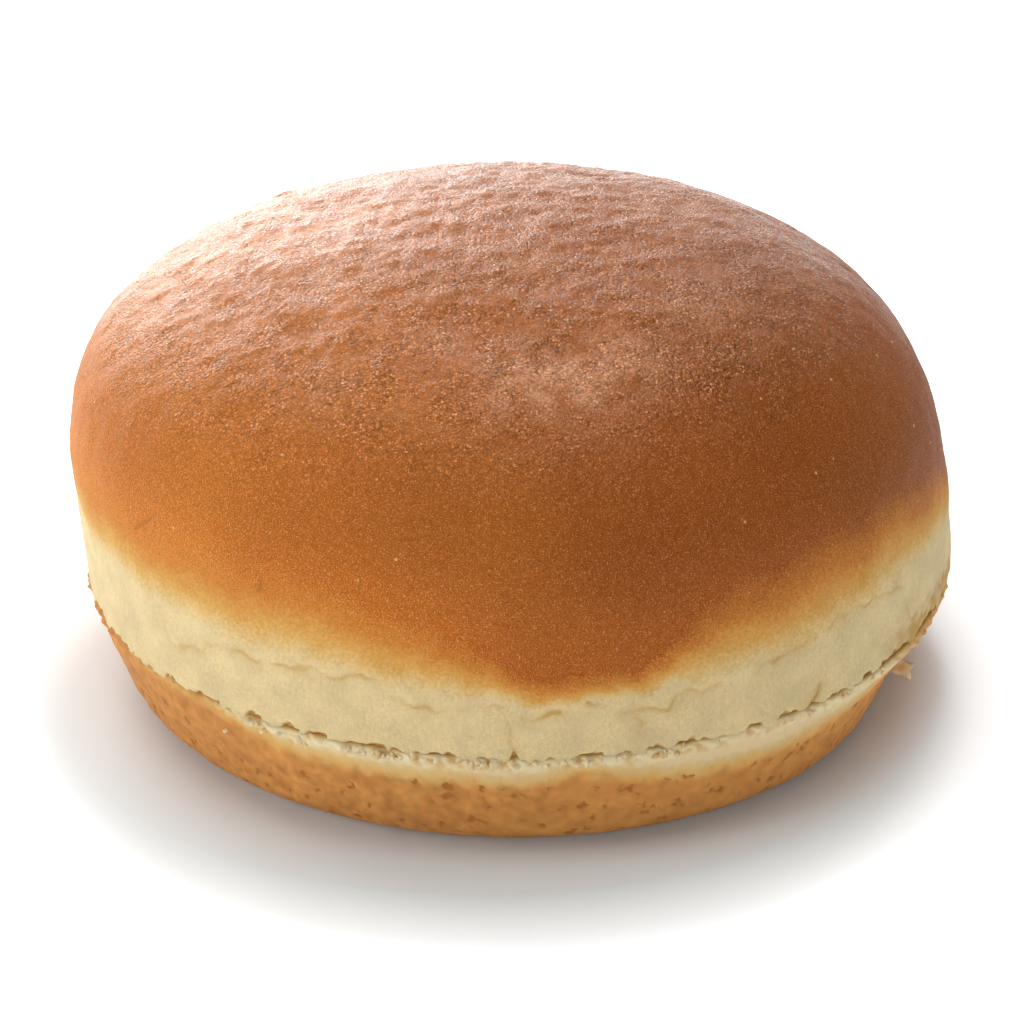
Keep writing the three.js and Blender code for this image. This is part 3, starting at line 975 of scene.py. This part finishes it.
def makeHeelFinish():
    c = heelFinish
    material, tree, surface = startFinish("goldenHeel")
    lip = calculate(tree, "ADD", readAttribute(tree, "lip"),
                    remap(tree, speckle(tree, 0.6), 0.3, 0.7, -0.06, 0.06))
    colour = colourRamp(tree, lip, [
        (0.0, c["brown"]), (0.3, c["golden"]), (0.58, c["straw"]), (0.75, c["lip"])])
    onWall = remap(tree, lip, 0.45, 0.1)
    patches = remap(tree, speckle(tree, c["patches"], 3), 0.42, 0.7, 0.0, 0.8)
    colour = blendColours(tree, calculate(tree, "MULTIPLY", patches, onWall), colour, (*c["dark"], 1))
    colour = shade(tree, colour, readAttribute(tree, "mottle"), onWall)
    pits = calculate(tree, "ADD", readAttribute(tree, "pit"),
                     remap(tree, speckle(tree, 0.5, 1), 0.3, 0.7, -0.12, 0.12))
    colour = blendColours(tree, remap(tree, pits, 0.25, 0.8, 0.0, 0.95), colour, (*c["pit"], 1))
    whitened = calculate(tree, "MULTIPLY", readAttribute(tree, "crumbly"), remap(tree, lip, 0.45, 0.65))
    colour = blendColours(tree, whitened, colour, (*c["crumb"], 1))
    # painted shade: ochre on the cut face and in the lip's hollows
    colour = blendColours(tree, readAttribute(tree, "inside"), colour, (*c["inside"], 1))
    tree.links.new(colour, surface.inputs["Base Color"])
    surface.inputs["Roughness"].default_value = c["roughness"]
    surface.inputs["Specular IOR Level"].default_value = c["specular"]
    addBump(tree, surface, speckle(tree, 0.6, 2), 0.08)
    tree.links.new(remap(tree, lip, 0.5, 0.8, 0.0, 0.45), surface.inputs["Subsurface Weight"])
    softInside(surface, 1.5)
    return material


crumbFinish = {"patches": 1.5, "roughness": 1.0, "specular": 0.1}


def makeCrumbFinish():
    c = crumbFinish
    material, tree, surface = startFinish("whiteCrumb")
    colour = colourRamp(tree, speckle(tree, c["patches"], 1), [
        (0.35, heelFinish["straw"]), (0.55, heelFinish["crumb"])])
    tree.links.new(colour, surface.inputs["Base Color"])
    surface.inputs["Roughness"].default_value = c["roughness"]
    surface.inputs["Specular IOR Level"].default_value = c["specular"]
    return material


crown.data.materials.append(makeCrustFinish())
heel.data.materials.append(makeHeelFinish())
crumbs.data.materials.clear()
crumbs.data.materials.append(makeCrumbFinish())
for piece, slot in ((crown, "crown_crust"), (heel, "heel_crust"), (crumbs, "crumb")):
    pickOnly(piece)
    bpy.ops.object.shade_smooth()
    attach(piece, "root")
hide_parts("crown")
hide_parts("heel")
print("finishes done")


# table, light and camera

studio = {  # distances in metres
    "table": (0.88, 0.92, 0.95), "tableRoughness": 0.6,
    # the table glows as if lit from below, a painted light with no lamp: faintly bluish in the bun's
    # shadow, brighter away from it and more so behind it
    "glow": 0.40, "glowFrom": 0.051, "glowTo": 0.064, "glowCentre": (-0.003, -0.004, 0), "glowBehind": 3,
    "glowUnder": 0.052, "underTint": (0.45, 0.82, 0.95),
    "behind": (-0.5, 0.87, 0),
    "room": 0.07,
    "distance": 1.1,
    # azimuth, elevation, size, power
    "lights": {
        "top": (90, 86, 0.9, 5.2),
        "overhead": (90, 58, 0.9, 1.5),
        "spark": (84, 62, 0.2, 2.6),
        "farRight": (70, 12, 0.6, 0.7),
        "far": (95, 9, 0.6, 1.4),
        "farLeft": (108, 8, 0.6, 6.9),
        "backLeft": (132, 26, 0.5, 2.5),
        "left": (195, 24, 0.6, 2.95),
        "frontLeft": (255, 24, 0.6, 1.5),
        "front": (290, 24, 0.6, 0.4),
    },
}

camera = {"lens": 138, "from": (0, -405.3, 217.5), "aim": (-0.62, -1.88, 18.1)}  # mm from the bun's axis


def addTable():
    bpy.ops.object.select_all(action="DESELECT")
    bpy.ops.mesh.primitive_plane_add(size=6)
    table = bpy.context.object
    table.name = "tableTop"
    material, tree, surface = startFinish("paleTable")
    surface.inputs["Base Color"].default_value = (*studio["table"], 1)
    surface.inputs["Roughness"].default_value = studio["tableRoughness"]
    place = objectPlace(tree)
    away = addNode(tree, "ShaderNodeVectorMath", {0: place, 1: studio["glowCentre"]},
                   operation="DISTANCE").outputs["Value"]
    back = addNode(tree, "ShaderNodeVectorMath", {0: place, 1: studio["behind"]},
                   operation="DOT_PRODUCT").outputs["Value"]
    clear = remap(tree, away, studio["glowFrom"], studio["glowTo"])
    glow = calculate(tree, "MULTIPLY", remap(tree, clear, 0.0, 1.0, studio["glowUnder"], studio["glow"]),
                     remap(tree, back, 0.03, 0.12, 1.0, studio["glowBehind"]))
    tree.links.new(glow, surface.inputs["Emission Strength"])
    tree.links.new(colourRamp(tree, clear, [(0.0, studio["underTint"]), (0.5, (1, 1, 1))]),
                   surface.inputs["Emission Color"])
    table.data.materials.append(material)


def addSoftLight(name, azimuth, elevation, size, power):
    tilt = Matrix.Rotation(-math.radians(elevation), 3, "Y")
    place = Matrix.Rotation(math.radians(azimuth), 3, "Z") @ tilt @ Vector((studio["distance"], 0, 0))
    bpy.ops.object.light_add(type="AREA", location=place)
    light = bpy.context.object
    light.name = name
    light.data.size = size
    light.data.energy = power
    light.rotation_euler = (Vector((0, 0, 0.03)) - place).to_track_quat("-Z", "Y").to_euler()


addTable()
for name, plan in studio["lights"].items():
    addSoftLight(name, *plan)
room = bpy.data.worlds.new("studioRoom")
room.color = (studio["room"],) * 3
bpy.context.scene.world = room
bpy.context.scene.view_settings.view_transform = "Standard"

place = bunAxis + Vector(camera["from"]) * mm
bpy.ops.object.camera_add(location=place)
eye = bpy.context.object
eye.data.lens = camera["lens"]
aim = bunAxis + Vector(camera["aim"]) * mm
eye.rotation_euler = (aim - place).to_track_quat("-Z", "Y").to_euler()
bpy.context.scene.camera = eye
print("table, light and camera done")
